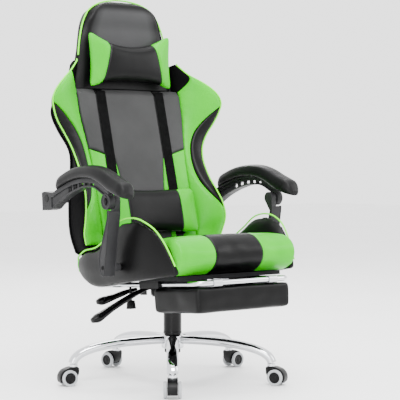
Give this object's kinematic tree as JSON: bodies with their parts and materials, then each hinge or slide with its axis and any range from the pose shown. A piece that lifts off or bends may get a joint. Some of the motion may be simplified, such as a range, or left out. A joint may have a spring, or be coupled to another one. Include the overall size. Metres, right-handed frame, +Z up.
{
  "type": "gaming chair",
  "caption": "Gaming chair: star base with twin-wheel casters, gas lift, tilt, reclining winged back with pillows, linked armrests and a slide-out flip-up footrest.",
  "frame": {"origin": "on the floor, on the axis of the gas spring column, under the middle of the chair", "axes": "+Z up; -Y is forward, the way the sitter faces; -X is the sitter's right"},
  "size_m": [0.7109, 0.7365, 1.2068],
  "materials": {
    "chrome": "polished chrome plate",
    "steel": "zinc plated steel",
    "black_steel": "satin black powder coat",
    "nylon": "black moulded nylon",
    "wheel": "light grey moulded nylon",
    "wood": "unfinished plywood",
    "black_leather": "smooth satin leatherette",
    "green_leather": "smooth satin leatherette",
    "grey_leather": "matt pebbled leatherette",
    "strap": "woven webbing",
    "arm_plastic": "fine textured plastic",
    "arm_pad": "soft skinned foam"
  },
  "bodies": {
    "base": {"star_base": "chrome", "column_tube": "black_steel", "guide_bush": "nylon", "thrust_bearing": "steel", "column_cover_lower": "nylon"},
    "caster_1": {"caster_1_hood": "nylon"},
    "caster_1_wheel_left": {"caster_1_wheel_left": "wheel"},
    "caster_1_wheel_right": {"caster_1_wheel_right": "wheel"},
    "caster_2": {"caster_2_hood": "nylon"},
    "caster_2_wheel_left": {"caster_2_wheel_left": "wheel"},
    "caster_2_wheel_right": {"caster_2_wheel_right": "wheel"},
    "caster_3": {"caster_3_hood": "nylon"},
    "caster_3_wheel_left": {"caster_3_wheel_left": "wheel"},
    "caster_3_wheel_right": {"caster_3_wheel_right": "wheel"},
    "caster_4": {"caster_4_hood": "nylon"},
    "caster_4_wheel_left": {"caster_4_wheel_left": "wheel"},
    "caster_4_wheel_right": {"caster_4_wheel_right": "wheel"},
    "caster_5": {"caster_5_hood": "nylon"},
    "caster_5_wheel_left": {"caster_5_wheel_left": "wheel"},
    "caster_5_wheel_right": {"caster_5_wheel_right": "wheel"},
    "rod": {"piston_rod": "steel", "retaining_clip": "steel"},
    "mechanism": {"gas_cylinder": "black_steel", "column_cover_upper": "nylon", "mechanism_housing": "black_steel"},
    "release_pin": {"release_pin": "steel"},
    "seat": {"seat_plate": "black_steel", "seat_board": "wood", "seat_cushion": "black_leather", "seat_bolster_left": "black_leather", "seat_bolster_right": "black_leather", "rail_guide_left": "black_steel", "rail_guide_right": "black_steel", "hinge_bracket_left": "black_steel", "hinge_bracket_right": "black_steel"},
    "height_lever": {"height_lever": "nylon"},
    "recline_lever": {"recline_lever": "nylon"},
    "tension_knob": {"tension_knob": "nylon"},
    "footrest_rails": {"footrest_rails": "chrome"},
    "footrest_pad": {"footrest_pad": "black_leather", "footrest_clip_left": "steel", "footrest_clip_right": "steel"},
    "backrest": {"backrest_frame": "black_steel", "backrest_shell": "black_leather", "backrest_cushion": "grey_leather", "headrest_cushion": "black_leather", "backrest_wing_left": "green_leather", "backrest_wing_right": "green_leather", "pillow_strap_left": "strap", "pillow_strap_right": "strap", "arm_bolt_left": "steel", "arm_bolt_right": "steel"},
    "lumbar_pillow": {"lumbar_pillow": "black_leather"},
    "head_pillow": {"head_pillow": "black_leather"},
    "arm_post_left": {"arm_post_left": "arm_plastic"},
    "arm_link_left": {"arm_link_left": "arm_plastic", "arm_pad_left": "arm_pad"},
    "arm_post_right": {"arm_post_right": "arm_plastic"},
    "arm_link_right": {"arm_link_right": "arm_plastic", "arm_pad_right": "arm_pad"}
  },
  "joints": [
    {"name": "caster_1_swivel", "type": "hinge", "parent": "base", "child": "caster_1", "pos_m": [-0.19151, -0.25637, 0], "axis": [0, 0, 1], "continuous": true},
    {"name": "caster_1_wheel_left_spin", "type": "hinge", "parent": "caster_1", "child": "caster_1_wheel_left", "pos_m": [-0.20348, -0.27239, 0.025], "axis": [0.8012, -0.5985, 0], "continuous": true},
    {"name": "caster_1_wheel_right_spin", "type": "hinge", "parent": "caster_1", "child": "caster_1_wheel_right", "pos_m": [-0.20348, -0.27239, 0.025], "axis": [0.8012, -0.5985, 0], "continuous": true},
    {"name": "caster_2_swivel", "type": "hinge", "parent": "base", "child": "caster_2", "pos_m": [-0.303, 0.10291, 0], "axis": [0, 0, 1], "continuous": true},
    {"name": "caster_2_wheel_left_spin", "type": "hinge", "parent": "caster_2", "child": "caster_2_wheel_left", "pos_m": [-0.32271, 0.1063, 0.025], "axis": [-0.1695, -0.9855, 0], "continuous": true},
    {"name": "caster_2_wheel_right_spin", "type": "hinge", "parent": "caster_2", "child": "caster_2_wheel_right", "pos_m": [-0.32271, 0.1063, 0.025], "axis": [-0.1695, -0.9855, 0], "continuous": true},
    {"name": "caster_3_swivel", "type": "hinge", "parent": "base", "child": "caster_3", "pos_m": [0.00424, 0.31997, 0], "axis": [0, 0, 1], "continuous": true},
    {"name": "caster_3_wheel_left_spin", "type": "hinge", "parent": "caster_3", "child": "caster_3_wheel_left", "pos_m": [-0.00034, 0.33944, 0.025], "axis": [-0.9734, -0.229, 0], "continuous": true},
    {"name": "caster_3_wheel_right_spin", "type": "hinge", "parent": "caster_3", "child": "caster_3_wheel_right", "pos_m": [-0.00034, 0.33944, 0.025], "axis": [-0.9734, -0.229, 0], "continuous": true},
    {"name": "caster_4_swivel", "type": "hinge", "parent": "base", "child": "caster_4", "pos_m": [0.30562, 0.09484, 0], "axis": [0, 0, 1], "continuous": true},
    {"name": "caster_4_wheel_left_spin", "type": "hinge", "parent": "caster_4", "child": "caster_4_wheel_left", "pos_m": [0.32554, 0.09667, 0.025], "axis": [-0.0913, 0.9958, 0], "continuous": true},
    {"name": "caster_4_wheel_right_spin", "type": "hinge", "parent": "caster_4", "child": "caster_4_wheel_right", "pos_m": [0.32554, 0.09667, 0.025], "axis": [-0.0913, 0.9958, 0], "continuous": true},
    {"name": "caster_5_swivel", "type": "hinge", "parent": "base", "child": "caster_5", "pos_m": [0.18464, -0.26136, 0], "axis": [0, 0, 1], "continuous": true},
    {"name": "caster_5_wheel_left_spin", "type": "hinge", "parent": "caster_5", "child": "caster_5_wheel_left", "pos_m": [0.19348, -0.2793, 0.025], "axis": [0.897, 0.4421, 0], "continuous": true},
    {"name": "caster_5_wheel_right_spin", "type": "hinge", "parent": "caster_5", "child": "caster_5_wheel_right", "pos_m": [0.19348, -0.2793, 0.025], "axis": [0.897, 0.4421, 0], "continuous": true},
    {"name": "seat_swivel", "type": "hinge", "parent": "base", "child": "rod", "pos_m": [0, 0, 0], "axis": [0, 0, 1], "continuous": true},
    {"name": "seat_lift", "type": "slide", "parent": "rod", "child": "mechanism", "axis": [0, 0, 1], "range_m": [0, 0.08]},
    {"name": "release_pin_slide", "type": "slide", "parent": "mechanism", "child": "release_pin", "axis": [0, 0, -1], "range_m": [0, 0.0045]},
    {"name": "seat_rock", "type": "hinge", "parent": "mechanism", "child": "seat", "pos_m": [0, 0, 0.291], "axis": [-1, 0, 0], "range_deg": [0, 10], "stiffness_Nm_per_rad": 300, "springref_deg": -5.73},
    {"name": "height_lever_pull", "type": "hinge", "parent": "seat", "child": "height_lever", "pos_m": [-0.03, 0.04996, 0.28857], "axis": [0, 0.9969, -0.0785], "range_deg": [0, 7], "stiffness_Nm_per_rad": 3, "springref_deg": -5.73},
    {"name": "recline_lever_pull", "type": "hinge", "parent": "seat", "child": "recline_lever", "pos_m": [-0.066, 0.10452, 0.28077], "axis": [0, 0.9969, -0.0785], "range_deg": [0, 12], "stiffness_Nm_per_rad": 3, "springref_deg": -5.73},
    {"name": "tension_knob_turn", "type": "hinge", "parent": "seat", "child": "tension_knob", "pos_m": [-0.1, 0.08396, 0.23624], "axis": [0, 0.0785, 0.9969], "continuous": true},
    {"name": "footrest_slide", "type": "slide", "parent": "seat", "child": "footrest_rails", "axis": [0, -0.9969, 0.0785], "range_m": [0, 0.22]},
    {"name": "footrest_flip", "type": "hinge", "parent": "footrest_rails", "child": "footrest_pad", "pos_m": [0, -0.35349, 0.33688], "axis": [-1, 0, 0], "range_deg": [0, 180]},
    {"name": "recline", "type": "hinge", "parent": "seat", "child": "backrest", "pos_m": [0, 0.15589, 0.35998], "axis": [-1, 0, 0], "range_deg": [0, 35]},
    {"name": "lumbar_pillow_slide", "type": "slide", "parent": "backrest", "child": "lumbar_pillow", "axis": [0, 0.2588, 0.9659], "range_m": [-0.02, 0.1]},
    {"name": "head_pillow_slide", "type": "slide", "parent": "backrest", "child": "head_pillow", "axis": [0, 0.0523, 0.9986], "range_m": [0, 0.03]},
    {"name": "arm_post_left_swing", "type": "hinge", "parent": "seat", "child": "arm_post_left", "pos_m": [0.3, -0.10374, 0.3749], "axis": [-1, 0, 0], "range_deg": [0, 36]},
    {"name": "arm_link_left_swing", "type": "hinge", "parent": "backrest", "child": "arm_link_left", "pos_m": [0.3, 0.20871, 0.57255], "axis": [-1, 0, 0], "range_deg": [-28.5, 0]},
    {"name": "arm_post_right_swing", "type": "hinge", "parent": "seat", "child": "arm_post_right", "pos_m": [-0.3, -0.10374, 0.3749], "axis": [-1, 0, 0], "range_deg": [0, 36]},
    {"name": "arm_link_right_swing", "type": "hinge", "parent": "backrest", "child": "arm_link_right", "pos_m": [-0.3, 0.20871, 0.57255], "axis": [-1, 0, 0], "range_deg": [-28.5, 0]}
  ],
  "couplings": [
    {"joint": "release_pin_slide", "follows": "height_lever_pull", "m_per_rad": 0.03},
    {"joint": "arm_post_left_swing", "follows": "recline", "ratio": 1.015},
    {"joint": "arm_link_left_swing", "follows": "recline", "ratio": -0.791},
    {"joint": "arm_post_right_swing", "follows": "recline", "ratio": 1.015},
    {"joint": "arm_link_right_swing", "follows": "recline", "ratio": -0.791}
  ]
}
